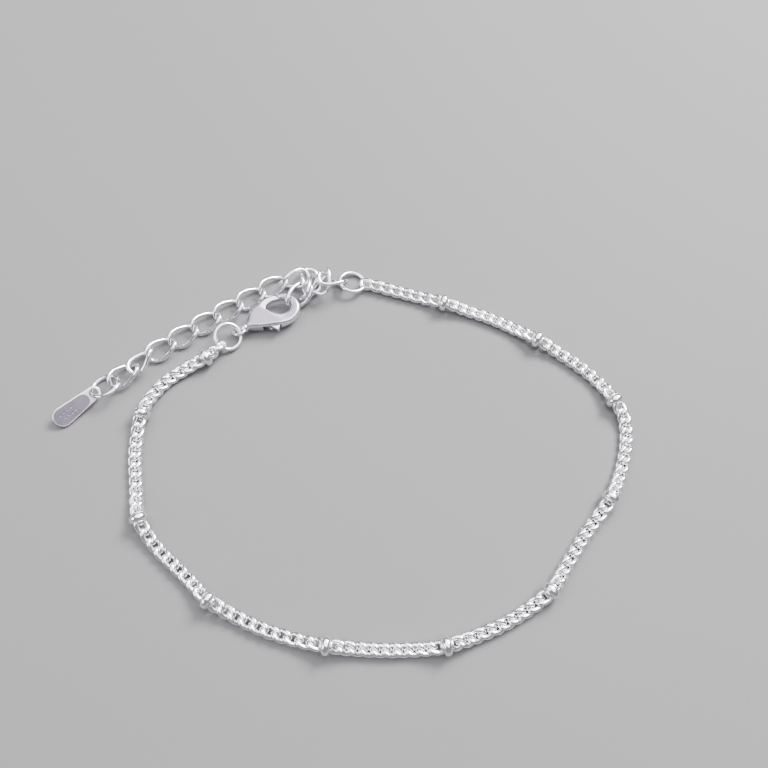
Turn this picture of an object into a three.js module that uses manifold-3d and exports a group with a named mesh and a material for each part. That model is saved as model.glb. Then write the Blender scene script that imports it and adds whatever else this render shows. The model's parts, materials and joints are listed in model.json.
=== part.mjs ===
// Satellite chain bracelet: a fine curb chain with eleven saucer beads, closed by a
// lobster clasp that is hooked into a short extender chain ending in a drop-shaped tag.
// It lies closed on a flat surface. Millimetres, +Z up; the origin is on that surface,
// under the middle of the bracelet's bounding box.
import * as THREE from "three";
import * as BufferGeometryUtils from "three/addons/utils/BufferGeometryUtils.js";
import Module from "manifold-3d";

const wasm = await Module();
wasm.setup();

// ---- driving dimensions ----

const CHAIN = { width: 1.95, height: 1.3, chamfer: 0.35, step: 1.9 };
const BEAD = { radius: 1.35, hubRadius: 0.9, halfLength: 0.8, rimHalfLength: 0.3, sides: 16 };
const BEAD_SEAT = 0.25; // gap between a run's end and the bead's face
const RAMP = 3.2; // length over which the chain comes down from a bead to the surface

const RING_WIRE = 0.6;
const LINK = { length: 5.2, width: 3.4, wire: 0.6, twist: -45 };
const WIRE_SIDES = 8;
const RING_STEPS = 24;

const CLASP = { x: -14.8, y: 17.8, z: 1.1, heading: 28, rise: 3 };
const BODY = { thickness: 2.1, clawThickness: 1.2, taperFrom: 4.2, taperTo: 7.2, round: 0.3 };
const SLOT_HEIGHT = 1.1;
const PIVOT = { x: 2.6, y: 0.35 };
const PIN_RADIUS = 0.4;
const PIN_HOLE_RADIUS = 0.52;
const EYE = { x: -1.15, radius: 0.86, wire: 0.5, roll: -25 };
const LEVER_THICKNESS = 0.9;
const GATE_REACH = 4.0; // radius about the pivot on which the gate ends
const GATE_GAP = 0.12;

const TAG = { length: 7.7, width: 2.9, neckWidth: 2.0, thickness: 0.35, holeRadius: 0.67 };

// ---- the chain's route, from the extender's ring round to the clasp's ring ----

// Points that carry a bead are marked; the others steer the chain between them.
const ROUTE = [
  { x: 3.1, y: 25.8 },
  { x: 4.6, y: 25.5 },
  { x: 7.5, y: 24.7 },
  { x: 10.5, y: 23.9 },
  { x: 14.7, y: 22.7, bead: true },
  { x: 20.6, y: 20.9 },
  { x: 24.8, y: 19.0 },
  { x: 28.5, y: 16.8, bead: true },
  { x: 33.6, y: 13.5 },
  { x: 36.9, y: 10.5 },
  { x: 39.0, y: 7.2, bead: true },
  { x: 40.2, y: 4.5 },
  { x: 40.2, y: 1.4 },
  { x: 39.1, y: -2.9 },
  { x: 37.0, y: -7.2, bead: true },
  { x: 33.3, y: -12.1 },
  { x: 30.7, y: -15.9 },
  { x: 28.0, y: -19.7, bead: true },
  { x: 23.0, y: -23.2 },
  { x: 18.8, y: -25.2 },
  { x: 14.5, y: -26.7, bead: true },
  { x: 8.5, y: -27.3 },
  { x: 4.0, y: -27.3 },
  { x: -0.6, y: -27.0, bead: true },
  { x: -6.6, y: -25.8 },
  { x: -10.9, y: -24.3 },
  { x: -15.9, y: -21.8, bead: true },
  { x: -18.0, y: -19.9 },
  { x: -21.3, y: -17.1 },
  { x: -23.7, y: -15.0 },
  { x: -26.3, y: -11.5, bead: true },
  { x: -27.8, y: -5.6 },
  { x: -28.5, y: -1.1 },
  { x: -28.2, y: 3.5, bead: true },
  { x: -27.2, y: 6.6 },
  { x: -25.6, y: 8.8 },
  { x: -23.4, y: 10.6 },
  { x: -20.2, y: 12.6, bead: true },
  { x: -18.8, y: 14.0 },
];

// ---- the loose rings, links and tag, each as it lies ----

// Centre in mm; heading is a turn about +Z, rise lifts the end that the heading points
// to, and roll is a turn about the piece's own length, all in degrees.
const RINGS = {
  ring_extender: { diameter: 4.4, x: 0.7, y: 26.2, z: 0.9, rise: -10, roll: -11 },
  ring_clasp: { diameter: 4.4, x: -17.3, y: 16.1, z: 1.3, heading: 25, rise: -15, roll: 25 },
  ring_tag: { diameter: 4.7, x: -34.1, y: 7.7, z: 1.2, heading: 227, rise: 5, roll: 25 },
};

// The extender's links in order, from its ring to the tag's ring. The fourth one is the
// link that the clasp is hooked through.
const EXTENDER = [
  { x: -2.3, y: 25.7, z: 2.2, heading: 5, rise: -30, roll: -40 },
  { x: -3.6, y: 25.7, z: 1.7, heading: 75, rise: 0, roll: -45 },
  { x: -5.5, y: 24.3, z: 2.0, heading: 60, rise: -10, roll: 80 },
  { x: -7.3, y: 23.1, z: 1.75, heading: 47, rise: 12, roll: 35 },
  { x: -6.2, y: 26.2, z: 1.3, heading: 80, rise: -15, roll: 45 },
  { x: -8.2, y: 25.8, z: 1.8, heading: 20, rise: 5, roll: 70 },
  { x: -11.3, y: 25.2, z: 1.05, heading: 35, roll: 4 },
  { x: -14.5, y: 23.0, z: 1.05, heading: 35, roll: 4 },
  { x: -17.7, y: 20.8, z: 1.05, heading: 35, roll: 4 },
  { x: -20.8, y: 18.6, z: 1.05, heading: 36, roll: 4 },
  { x: -23.9, y: 16.3, z: 1.05, heading: 37, roll: 4 },
  { x: -26.9, y: 14.0, z: 1.05, heading: 37, roll: 4 },
  { x: -29.4, y: 11.9, z: 1.4, heading: 50, rise: 10, roll: -25 },
  { x: -31.7, y: 9.6, z: 1.2, heading: 45, rise: -5 },
];

const TAG_PLACE = { x: -35.55, y: 6.6, z: 1.2, heading: 224, rise: -3, roll: -30 };

// ---- helpers ----

const radians = THREE.MathUtils.degToRad;

const silver = new THREE.MeshStandardMaterial({ color: 0xdcdce2, roughness: 0.22, metalness: 1 });
const satin = new THREE.MeshStandardMaterial({ color: 0xc9c3cf, roughness: 0.4, metalness: 1 });

function part(name, geometry, material, place = {}) {
  const { x = 0, y = 0, z = 0, heading = 0, rise = 0, roll = 0 } = place;
  const mesh = new THREE.Mesh(geometry, material.clone());
  mesh.name = name;
  mesh.position.set(x, y, z);
  mesh.rotation.set(radians(roll), -radians(rise), radians(heading), "ZYX");
  return mesh;
}

function toSolid(geometry) {
  const bare = geometry.clone();
  bare.deleteAttribute("normal");
  bare.deleteAttribute("uv");
  const welded = BufferGeometryUtils.mergeVertices(bare, 1e-4);
  return new wasm.Manifold(new wasm.Mesh({
    numProp: 3,
    vertProperties: new Float32Array(welded.attributes.position.array),
    triVerts: new Uint32Array(welded.index.array),
  }));
}

function toGeometry(solid) {
  const { vertProperties, triVerts } = solid.getMesh();
  const geometry = new THREE.BufferGeometry();
  geometry.setAttribute("position", new THREE.BufferAttribute(new Float32Array(vertProperties), 3));
  geometry.setIndex(new THREE.BufferAttribute(new Uint32Array(triVerts), 1));
  return geometry;
}

function plate(shape, thickness, round, curveSegments = 3) {
  const geometry = new THREE.ExtrudeGeometry(shape, {
    depth: thickness - 2 * round,
    bevelEnabled: round > 0,
    bevelThickness: round,
    bevelSize: round,
    bevelOffset: -round,
    bevelSegments: 2,
    curveSegments,
  });
  return geometry.translate(0, 0, round - thickness / 2);
}

function curveThrough(shape, points) {
  shape.splineThru(points.map(([x, y]) => new THREE.Vector2(x, y)));
}

// ---- chain runs and beads ----

const routeCurve = new THREE.CatmullRomCurve3(
  ROUTE.map(({ x, y }) => new THREE.Vector3(x, y, 0)), false, "centripetal",
);
const SAMPLES = 40; // length samples for each stretch between two route points
routeCurve.arcLengthDivisions = (ROUTE.length - 1) * SAMPLES;
const routeLengths = routeCurve.getLengths();
const routeLength = routeLengths.at(-1);

const beadHeight = BEAD.radius * Math.cos(Math.PI / BEAD.sides);
const beadMarks = ROUTE
  .map(({ bead }, index) => ({ bead, along: routeLengths[index * SAMPLES] }))
  .filter(({ bead }) => bead)
  .map(({ along }) => along);

function chainHeight(along) {
  const nearest = Math.min(...beadMarks.map((mark) => Math.abs(mark - along)));
  const descent = THREE.MathUtils.smoothstep(nearest, BEAD.halfLength, BEAD.halfLength + RAMP);
  return THREE.MathUtils.lerp(beadHeight, CHAIN.height / 2, descent);
}

// A stretch of the chain's route at its true height, whose cross-section stays level.
class ChainPath extends THREE.Curve {
  constructor(from, to) {
    super();
    this.from = from;
    this.to = to;
  }

  getPoint(t, target = new THREE.Vector3()) {
    const along = THREE.MathUtils.lerp(this.from, this.to, t);
    routeCurve.getPointAt(along / routeLength, target);
    return target.setZ(chainHeight(along));
  }

  computeFrenetFrames(segments) {
    const frames = { tangents: [], normals: [], binormals: [] };
    for (let i = 0; i <= segments; i += 1) {
      const tangent = this.getTangentAt(i / segments);
      const binormal = new THREE.Vector3(0, 0, -1).cross(tangent).negate().normalize();
      frames.tangents.push(tangent);
      frames.binormals.push(binormal);
      frames.normals.push(binormal.clone().cross(tangent));
    }
    return frames;
  }
}

function chainSection() {
  const h = CHAIN.height / 2;
  const w = CHAIN.width / 2;
  const c = CHAIN.chamfer;
  return new THREE.Shape([
    new THREE.Vector2(h, c - w), new THREE.Vector2(h, w - c),
    new THREE.Vector2(h - c, w), new THREE.Vector2(c - h, w),
    new THREE.Vector2(-h, w - c), new THREE.Vector2(-h, c - w),
    new THREE.Vector2(c - h, -w), new THREE.Vector2(h - c, -w),
  ]);
}

function chainRun(from, to) {
  return new THREE.ExtrudeGeometry(chainSection(), {
    steps: Math.max(1, Math.round((to - from) / CHAIN.step)),
    extrudePath: new ChainPath(from, to),
    bevelEnabled: false,
  });
}

function bead() {
  const { radius, hubRadius, halfLength, rimHalfLength, sides } = BEAD;
  const shoulder = (halfLength + rimHalfLength) / 2;
  const half = [
    [0, halfLength], [hubRadius, halfLength], [(radius + hubRadius) / 2, shoulder],
    [radius, rimHalfLength],
  ];
  const profile = [
    ...half.map(([r, y]) => new THREE.Vector2(r, -y)),
    ...half.reverse().map(([r, y]) => new THREE.Vector2(r, y)),
  ];
  return new THREE.LatheGeometry(profile, sides, Math.PI / sides).rotateZ(-Math.PI / 2);
}

// ---- rings and links ----

function ring(diameter) {
  const radius = (diameter - RING_WIRE) / 2;
  return new THREE.TorusGeometry(radius, RING_WIRE / 2, WIRE_SIDES, RING_STEPS);
}

// A ring of wire pulled out to an oval and then twisted about its length, so that its two
// ends stand crosswise to the middle and neighbours lie side by side.
function curbLink() {
  const { length, width, wire, twist } = LINK;
  const halfLength = (length - wire) / 2;
  const halfWidth = (width - wire) / 2;
  const stretch = halfLength - halfWidth;
  const geometry = new THREE.TorusGeometry(halfWidth, wire / 2, WIRE_SIDES, RING_STEPS);
  const position = geometry.attributes.position;
  for (let i = 0; i < position.count; i += 1) {
    const x = position.getX(i);
    const y = position.getY(i);
    const z = position.getZ(i);
    const along = x + stretch * THREE.MathUtils.clamp((3 * x) / Math.hypot(x, y), -1, 1);
    const turn = radians(twist) * (along / halfLength);
    position.setXYZ(
      i, along,
      y * Math.cos(turn) - z * Math.sin(turn),
      y * Math.sin(turn) + z * Math.cos(turn),
    );
  }
  return geometry;
}

// ---- lobster clasp: x runs from the neck to the nose, y points to the gate's side ----

function onCircle(reach, y) {
  return PIVOT.x + Math.sqrt(reach ** 2 - (y - PIVOT.y) ** 2);
}

const MOUTH = { outer: 2.75, inner: 1.9 }; // y of the gate end's outer and inner corners

function clawShape() {
  const tipReach = GATE_REACH + GATE_GAP;
  const shape = new THREE.Shape();
  shape.moveTo(0.2, -0.45);
  curveThrough(shape, [[1.9, -1.25], [3.4, -1.85], [4.9, -2.25], [6.5, -2.3], [7.9, -1.65],
    [8.7, -0.3], [8.6, 0.95], [8.0, 1.95], [7.0, 2.62]]);
  shape.lineTo(onCircle(tipReach, MOUTH.outer), MOUTH.outer);
  shape.lineTo(onCircle(tipReach, MOUTH.inner), MOUTH.inner);
  shape.lineTo(6.9, 1.65);
  curveThrough(shape, [[7.45, 0.95], [7.5, 0.1], [7.0, -0.45], [6.0, -0.6], [5.1, -0.35],
    [4.4, 0.3], [3.8, 1.05], [3.4, 1.75]]);
  shape.lineTo(2.95, 2.4);
  shape.lineTo(2.35, 2.25);
  curveThrough(shape, [[1.3, 1.75], [0.7, 1.15], [0.2, 0.5]]);
  return shape;
}

// The claw is thick round the lever and thins down towards the nose.
function tapered(geometry) {
  const position = geometry.attributes.position;
  const thin = BODY.clawThickness / BODY.thickness;
  for (let i = 0; i < position.count; i += 1) {
    const along = THREE.MathUtils.smoothstep(position.getX(i), BODY.taperFrom, BODY.taperTo);
    position.setZ(i, position.getZ(i) * THREE.MathUtils.lerp(1, thin, along));
  }
  return geometry;
}

function slotShape() {
  return new THREE.Shape([[2.2, -4], [5.1, -4], [5.1, 4], [2.2, 4], [1.5, 1.4], [1.4, 0.35],
    [1.6, -0.6], [2.2, -1.2]].map(([x, y]) => new THREE.Vector2(x, y)));
}

function claspNeck() {
  const profile = [[0, -0.75], [0.28, -0.75], [0.34, -0.5], [0.62, -0.38], [0.72, -0.12],
    [0.62, 0.14], [0.48, 0.3], [0.48, 1.2], [0, 1.2]].map(([r, y]) => new THREE.Vector2(r, y));
  return new THREE.LatheGeometry(profile, 14).rotateZ(-Math.PI / 2);
}

function claspEye() {
  const geometry = new THREE.TorusGeometry(EYE.radius, EYE.wire / 2, WIRE_SIDES, 20);
  return geometry.rotateX(radians(EYE.roll)).translate(EYE.x, 0, 0);
}

function rivet() {
  const geometry = new THREE.CylinderGeometry(PIN_RADIUS, PIN_RADIUS, BODY.thickness - 0.2, 14);
  return geometry.rotateX(Math.PI / 2).translate(PIVOT.x, PIVOT.y, 0);
}

function claspBody() {
  const claw = toSolid(tapered(plate(clawShape(), BODY.thickness, BODY.round)));
  const slot = toSolid(plate(slotShape(), SLOT_HEIGHT, 0));
  const body = claw.subtract(slot)
    .add(toSolid(rivet()))
    .add(toSolid(claspNeck()))
    .add(toSolid(claspEye()));
  return toGeometry(body);
}

function claspLever() {
  const shape = new THREE.Shape();
  shape.moveTo(onCircle(GATE_REACH, MOUTH.inner), MOUTH.inner);
  shape.lineTo(onCircle(GATE_REACH, MOUTH.outer), MOUTH.outer);
  curveThrough(shape, [[5.0, 2.88], [4.2, 2.85], [3.3, 2.5], [2.6, 1.75], [1.9, 1.0], [1.7, 0.3],
    [1.95, -0.35], [2.6, -0.75]]);
  shape.lineTo(3.3, -1.6);
  shape.lineTo(4.1, -2.75);
  shape.lineTo(4.95, -1.7);
  curveThrough(shape, [[4.3, -1.0], [3.65, -0.2], [3.6, 0.8], [3.9, 1.65], [4.5, 2.0], [5.2, 2.1],
    [onCircle(GATE_REACH, MOUTH.inner), MOUTH.inner]]);
  shape.holes.push(new THREE.Path().absarc(PIVOT.x, PIVOT.y, PIN_HOLE_RADIUS, 0, 2 * Math.PI));
  return plate(shape, LEVER_THICKNESS, 0, 5);
}

// ---- tag: its origin is the middle of its hole, x runs to the wide end ----

function tag() {
  const small = TAG.neckWidth / 2;
  const large = TAG.width / 2;
  const apart = TAG.length - small - large;
  const lean = Math.asin((large - small) / apart);
  const shape = new THREE.Shape();
  shape.absarc(apart, 0, large, -Math.PI / 2 - lean, Math.PI / 2 + lean);
  shape.absarc(0, 0, small, Math.PI / 2 + lean, 1.5 * Math.PI - lean);
  shape.holes.push(new THREE.Path().absarc(0, 0, TAG.holeRadius, 0, 2 * Math.PI));
  return plate(shape, TAG.thickness, 0, 14);
}

// ---- assembly ----

const number = (index) => String(index + 1).padStart(2, "0");

const bracelet = new THREE.Group();

const stops = [0, ...beadMarks, routeLength];
const clear = BEAD.halfLength + BEAD_SEAT;
for (let i = 0; i + 1 < stops.length; i += 1) {
  const from = i === 0 ? stops[i] : stops[i] + clear;
  const to = i + 2 === stops.length ? stops[i + 1] : stops[i + 1] - clear;
  bracelet.add(part(`chain_run_${number(i)}`, chainRun(from, to), silver));
}

beadMarks.forEach((along, i) => {
  const { x, y } = routeCurve.getPointAt(along / routeLength);
  const tangent = routeCurve.getTangentAt(along / routeLength);
  const heading = THREE.MathUtils.radToDeg(Math.atan2(tangent.y, tangent.x));
  bracelet.add(part(`bead_${number(i)}`, bead(), silver, { x, y, z: beadHeight, heading }));
});

for (const [name, place] of Object.entries(RINGS)) {
  bracelet.add(part(name, ring(place.diameter), silver, place));
}

EXTENDER.forEach((place, i) => {
  bracelet.add(part(`extender_link_${number(i)}`, curbLink(), silver, place));
});

const clasp = new THREE.Group();
clasp.position.set(CLASP.x, CLASP.y, CLASP.z);
clasp.rotation.set(0, -radians(CLASP.rise), radians(CLASP.heading), "ZYX");
clasp.add(part("clasp_body", claspBody(), silver));
clasp.add(part("clasp_lever", claspLever(), silver));
bracelet.add(clasp);

bracelet.add(part("tag", tag(), satin, TAG_PLACE));

bracelet.position.set(-0.27, -0.17, 0); // brings the origin under the bounding box's middle

export default bracelet;
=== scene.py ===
"""Satellite chain bracelet: the looks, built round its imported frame.

A fine curb chain carries eleven saucer beads. A lobster clasp closes it by hooking into a
short extender of larger curb links, which ends in a drop-shaped tag. Each sub-assembly is
a class below: it takes its places from the frame or from the chain's route, builds its
meshes and dresses them.

Sizes in the dataclasses are millimetres and degrees; the scene itself is in metres.
"""

from __future__ import annotations

import json
import logging
import math
from collections.abc import Sequence
from dataclasses import dataclass, field, replace
from enum import Enum

import bmesh
import bpy
import numpy as np
from mathutils import Matrix, Vector

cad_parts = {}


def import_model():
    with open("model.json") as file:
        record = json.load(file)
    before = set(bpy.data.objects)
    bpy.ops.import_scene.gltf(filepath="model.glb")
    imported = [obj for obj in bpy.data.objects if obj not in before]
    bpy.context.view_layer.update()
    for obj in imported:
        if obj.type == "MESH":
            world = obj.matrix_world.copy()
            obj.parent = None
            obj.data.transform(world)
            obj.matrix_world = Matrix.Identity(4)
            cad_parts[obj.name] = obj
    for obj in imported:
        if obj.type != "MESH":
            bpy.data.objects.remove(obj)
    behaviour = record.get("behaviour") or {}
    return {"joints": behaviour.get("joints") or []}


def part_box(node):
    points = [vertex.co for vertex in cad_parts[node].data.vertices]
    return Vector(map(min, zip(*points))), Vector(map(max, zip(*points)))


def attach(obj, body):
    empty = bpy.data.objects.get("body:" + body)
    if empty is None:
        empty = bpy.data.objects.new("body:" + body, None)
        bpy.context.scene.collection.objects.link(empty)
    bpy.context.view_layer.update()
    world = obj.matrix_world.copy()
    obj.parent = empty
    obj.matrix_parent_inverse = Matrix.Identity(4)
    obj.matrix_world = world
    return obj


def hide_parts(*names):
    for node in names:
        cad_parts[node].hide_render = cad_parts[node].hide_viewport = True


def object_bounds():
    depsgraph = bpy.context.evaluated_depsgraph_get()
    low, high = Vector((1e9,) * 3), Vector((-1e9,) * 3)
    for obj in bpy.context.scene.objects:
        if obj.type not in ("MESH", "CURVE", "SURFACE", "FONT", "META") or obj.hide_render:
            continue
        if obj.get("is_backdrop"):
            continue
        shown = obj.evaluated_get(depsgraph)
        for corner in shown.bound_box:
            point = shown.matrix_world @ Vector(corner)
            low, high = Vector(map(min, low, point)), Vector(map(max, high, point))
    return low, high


MM = 0.001
TAU = 2 * math.pi
MAIN_BODY = "bracelet"
LEVER_BODY = "lever"
LEVER_HINGE = "lever_hinge"
DOUBLES_M = 1e-7
SHARP_ANGLE = 38.0

Point = tuple[float, float]
Triple = tuple[float, float, float]
Faces = list[tuple[int, ...]]

log = logging.getLogger("bracelet")


# ---------------------------------------------------------------- placing and meshing


@dataclass(frozen=True)
class Pose:
    """How a piece is turned.

    heading turns it about +Z, rise lifts the end that it heads to, and roll turns it
    about its own length, all in degrees.
    """

    heading: float = 0.0
    rise: float = 0.0
    roll: float = 0.0

    def matrix(self) -> np.ndarray:
        """Works out the turn.

        Returns:
            A 3 by 3 matrix.
        """
        turn = Matrix.Identity(3)
        for angle, axis in ((self.heading, "Z"), (-self.rise, "Y"), (self.roll, "X")):
            turn = turn @ Matrix.Rotation(math.radians(angle), 3, axis)
        return np.array(turn)


@dataclass
class Shell:
    """A mesh in the making: points in millimetres, faces, and a UV pair for each corner."""

    points: np.ndarray
    faces: Faces
    corners: list[Point] | None = None

    def placed(self, pose: Pose, centre: np.ndarray) -> Shell:
        """Returns the shell turned by a pose, with its own origin moved to a centre."""
        return Shell(self.points @ pose.matrix().T + centre, self.faces, self.corners)

    def centred_on(self, pose: Pose, node: str) -> Shell:
        """Returns the shell turned by a pose, with its box's middle at a frame node's."""
        middle = box_middle(self.points @ pose.matrix().T)
        return self.placed(pose, node_middle(node) - middle)

    def to_object(self, name: str) -> bpy.types.Object:
        """Makes the shell a scene object: smooth, outward-facing and in metres.

        Args:
            name: the piece's name.

        Returns:
            The object, at the origin, with its place in its mesh.
        """
        mesh = bpy.data.meshes.new(name)
        mesh.from_pydata((self.points * MM).tolist(), [], self.faces)
        if self.corners is not None:
            layer = mesh.uv_layers.new(name="lay")
            layer.data.foreach_set("uv", np.array(self.corners, np.float32).ravel())
        mesh.validate()
        face_outwards(mesh)
        mesh.shade_smooth()
        return in_scene(name, mesh)


def in_scene(name: str, content: bpy.types.ID) -> bpy.types.Object:
    """Puts a mesh, a lamp or a camera into the scene.

    Args:
        name: the new object's name.
        content: what it holds.

    Returns:
        The object.
    """
    item = bpy.data.objects.new(name, content)
    bpy.context.scene.collection.objects.link(item)
    return item


def face_outwards(mesh: bpy.types.Mesh) -> None:
    """Merges a mesh's doubles and turns its faces outwards.

    Args:
        mesh: the mesh, which is changed in place.
    """
    work = bmesh.new()
    work.from_mesh(mesh)
    bmesh.ops.remove_doubles(work, verts=work.verts, dist=DOUBLES_M)
    bmesh.ops.recalc_face_normals(work, faces=work.faces)
    work.to_mesh(mesh)
    work.free()


def box_middle(points: np.ndarray) -> np.ndarray:
    """Returns the middle of the box round some points."""
    return (points.min(0) + points.max(0)) / 2


def node_middle(node: str) -> np.ndarray:
    """Returns the middle of a frame node's box, in millimetres."""
    low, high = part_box(node)
    return np.array((low + high) / 2) / MM


def eased(share: np.ndarray | float) -> np.ndarray | float:
    """Returns a share from 0 to 1, slowed at both ends."""
    return share * share * (3 - 2 * share)


def circle(count: int, radius: float = 1.0) -> np.ndarray:
    """Returns a circle's points in the plane, about its origin."""
    angles = np.arange(count) * TAU / count
    return np.stack([np.cos(angles), np.sin(angles)], 1) * radius


def at_height(plan: np.ndarray, height: float | np.ndarray) -> np.ndarray:
    """Returns points of the plane with a height added."""
    return np.column_stack([plan, np.broadcast_to(height, len(plan))])


def running_length(line: np.ndarray) -> np.ndarray:
    """Returns how far along a line each of its points lies."""
    return np.concatenate([[0], np.cumsum(np.linalg.norm(np.diff(line, axis=0), axis=1))])


def curve_through(points: np.ndarray, steps: int, power: float = 0.0) -> np.ndarray:
    """Draws a smooth open curve through points.

    Args:
        points: what it passes through, with one point more before the start and after the end.
        steps: how many steps it takes between two of them.
        power: how much its pace follows the points' spacing, from 0 for not at all.

    Returns:
        The curve's points, its start and end included.
    """
    share = np.linspace(0, 1, steps, endpoint=False)[:, None]
    pieces = []
    for p0, p1, p2, p3 in zip(points, points[1:], points[2:], points[3:]):
        d0, d1, d2 = (np.linalg.norm(b - a) ** power for a, b in ((p0, p1), (p1, p2), (p2, p3)))
        leave = ((p1 - p0) / d0 - (p2 - p0) / (d0 + d1) + (p2 - p1) / d1) * d1
        arrive = ((p2 - p1) / d1 - (p3 - p1) / (d1 + d2) + (p3 - p2) / d2) * d1
        cubic = (2 * (p1 - p2) + leave + arrive) * share**3
        square = (3 * (p2 - p1) - 2 * leave - arrive) * share**2
        pieces.append(cubic + square + leave * share + p1)
    return np.vstack([*pieces, points[-2]])


def band(low: int, high: int, size: int) -> Faces:
    """Joins two rings of points by faces.

    Args:
        low: the number of the first ring's first point.
        high: the same for the second ring.
        size: how many points each has.

    Returns:
        The faces.
    """
    return [(low + k, low + (k + 1) % size, high + (k + 1) % size, high + k) for k in range(size)]


def band_corners(start: float, end: float, girth: float, size: int) -> list[Point]:
    """Works out the UVs of a band of faces, along the line that it lies round and round it.

    Args:
        start: how far along that line the first ring lies.
        end: the same for the second ring.
        girth: the way round a ring.
        size: how many points a ring has.

    Returns:
        A pair for each corner of each face.
    """
    corners: list[Point] = []
    for k in range(size):
        low, high = girth * k / size, girth * (k + 1) / size
        corners += [(start, low), (start, high), (end, high), (end, low)]
    return corners


def swept_loop(line: np.ndarray, radius: np.ndarray | float, sides: int) -> Shell:
    """Sweeps a round wire along a closed line.

    Args:
        line: the line's points, the last one not repeating the first.
        radius: the wire's radius, one for all or one for each point.
        sides: how many sides the wire's section has.

    Returns:
        A closed tube, with UVs in millimetres along and round the wire.
    """
    count = len(line)
    tangents = np.roll(line, -1, 0) - np.roll(line, 1, 0)
    tangents /= np.linalg.norm(tangents, axis=1)[:, None]
    aslant = (0.3, 0.2, 1.0)
    normal = np.cross(tangents[0], aslant)
    normals = []
    for tangent in tangents:
        normal = normal - tangent * (normal @ tangent)
        normal = normal / np.linalg.norm(normal)
        normals.append(normal)
    carried = normals[-1] - tangents[0] * (normals[-1] @ tangents[0])
    side = np.cross(tangents[0], normals[0])
    slip = math.atan2(carried @ side, carried @ normals[0])
    radii = np.broadcast_to(np.asarray(radius, float), (count,))
    along = running_length(np.vstack([line, line[:1]]))
    rings, faces, corners = [], [], []
    for i in range(count):
        lateral = np.cross(tangents[i], normals[i])
        angles = np.arange(sides) * TAU / sides - slip * i / count
        ring = np.outer(np.cos(angles), normals[i]) + np.outer(np.sin(angles), lateral)
        rings.append(line[i] + radii[i] * ring)
        faces += band(i * sides, (i + 1) % count * sides, sides)
        corners += band_corners(along[i], along[i + 1], TAU * radii[i], sides)
    return Shell(np.vstack(rings), faces, corners)


def revolved(profile: np.ndarray, segments: int) -> Shell:
    """Turns a profile about the X axis.

    Args:
        profile: rows of place along the axis and radius; the first and last lie on it.
        segments: how many steps go round.

    Returns:
        A closed shell, with UVs in millimetres round and along it.
    """
    rings = [np.column_stack([np.full(segments, x), circle(segments, radius)]) for x, radius in profile]
    along = running_length(profile)
    girth = TAU * profile[:, 1].max()
    faces, corners = [], []
    for i in range(len(profile) - 1):
        low, high = i * segments, (i + 1) * segments
        for k in range(segments):
            after = (k + 1) % segments
            left, right = girth * k / segments, girth * (k + 1) / segments
            faces.append((low + k, high + k, high + after, low + after))
            corners += [(left, along[i]), (left, along[i + 1]), (right, along[i + 1]), (right, along[i])]
    return Shell(np.vstack(rings), faces, corners)


def stacked_rings(rings: Sequence[np.ndarray]) -> Shell:
    """Joins rings of points, each like the last, into a closed shell with flat ends.

    Args:
        rings: the rings in order, all with the same number of points.

    Returns:
        The shell, without UVs.
    """
    size, top = len(rings[0]), len(rings) - 1
    faces: Faces = []
    for i in range(top):
        faces += band(i * size, (i + 1) * size, size)
    faces.append(tuple(range(size))[::-1])
    faces.append(tuple(range(top * size, (top + 1) * size)))
    return Shell(np.vstack(rings), faces)


def prism(plan: np.ndarray, low: float, high: float) -> Shell:
    """Returns the upright solid between two heights over an outline."""
    return stacked_rings([at_height(plan, low), at_height(plan, high)])


def ribbon_solid(
    outer: Sequence[Point], inner: Sequence[Point], half_thickness: np.ndarray, edge: float, dome: float
) -> Shell:
    """Lofts a rounded bar between two edge curves that lie in the XY plane.

    Args:
        outer: one edge's points.
        inner: the other edge's points, paired with the first one's.
        half_thickness: half the bar's thickness at each pair.
        edge: the radius of its four long edges.
        dome: the share of its thickness by which its faces fall away to the edges.

    Returns:
        A closed shell with flat ends.
    """
    corner_steps, face_steps, most = 6, 8, 0.85
    rings = []
    for a, b, half in zip(outer, inner, half_thickness):
        middle, arm = (a + b) / 2, (a - b) / 2
        width = float(np.linalg.norm(arm))
        radius = min(edge, most * half, most * width)
        section = []
        for sign_u, sign_z, first in ((1, 1, 0.0), (-1, 1, 0.25), (-1, -1, 0.5), (1, -1, 0.75)):
            centre = np.array([sign_u * (width - radius), sign_z * (half - radius)])
            for step in range(corner_steps + 1):
                angle = TAU * (first + 0.25 * step / corner_steps)
                section.append(centre + radius * np.array([math.cos(angle), math.sin(angle)]))
            if sign_u * sign_z > 0:
                end = np.array([-sign_u * (width - radius), sign_z * half])
                start = section[-1]
                section += [start + (end - start) * s / face_steps for s in range(1, face_steps)]
        flat = np.array(section)
        flat[:, 1] *= 1 - dome * (flat[:, 0] / width) ** 2
        rings.append(at_height(middle + flat[:, :1] * arm / width, flat[:, 1]))
    return stacked_rings(rings)


def softened(loop: np.ndarray, spacing: float, radius: float) -> np.ndarray:
    """Evens out a closed outline's points and rounds its corners.

    Args:
        loop: the outline's points in the plane.
        spacing: the distance that its new points keep.
        radius: about how far the rounding reaches.

    Returns:
        The new outline.
    """
    closed = np.vstack([loop, loop[:1]])
    along = running_length(closed)
    length = along[-1]
    count = round(length / spacing)
    stations = np.linspace(0, length, count, endpoint=False)
    even = np.stack([np.interp(stations, along, closed[:, i]) for i in range(2)], 1)
    offsets = np.fft.fftfreq(count) * length
    weight = np.exp(-0.5 * (offsets / (0.5 * radius)) ** 2)
    spectrum = np.fft.fft(weight / weight.sum())
    return np.stack([np.fft.ifft(np.fft.fft(even[:, i]) * spectrum).real for i in range(2)], 1)


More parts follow.
